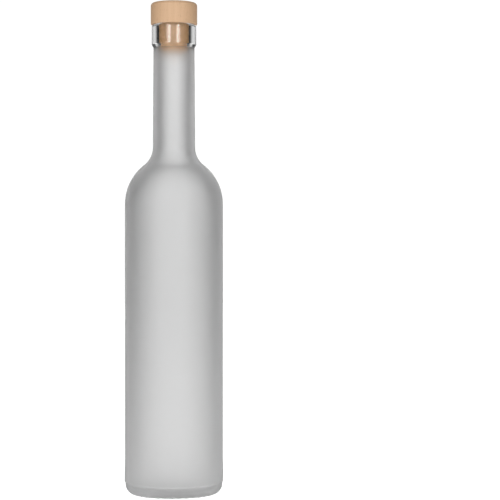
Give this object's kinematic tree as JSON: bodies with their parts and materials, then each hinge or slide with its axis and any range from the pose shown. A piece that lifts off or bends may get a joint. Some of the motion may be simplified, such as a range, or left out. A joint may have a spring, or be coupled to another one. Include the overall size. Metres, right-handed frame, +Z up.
{
  "type": "glass bottle",
  "caption": "Slim round bottle of frosted glass with a long neck, a clear ring round the mouth and a push-in stopper with a wooden head.",
  "frame": {"origin": "centre of the ring that the bottle stands on, on the standing surface", "axes": "+Z up along the bottle's axis, from the base to the stopper; the bottle is round, so +X and +Y have no feature of their own"},
  "size_m": [0.064, 0.064, 0.3188],
  "materials": {
    "frosted_glass": "satin etched outside, clear and polished on the ring round the mouth and inside",
    "beech_wood": "fine sanded, unvarnished",
    "pressed_cork": "matt, fine grained"
  },
  "bodies": {
    "bottle": {"bottle": "frosted_glass"},
    "stopper": {"stopper_head": "beech_wood", "stopper_shank": "pressed_cork"}
  },
  "joints": [
    {"name": "stopper_pull", "type": "slide", "parent": "bottle", "child": "stopper", "axis": [0, 0, 1], "range_m": [0, 0.03]}
  ]
}
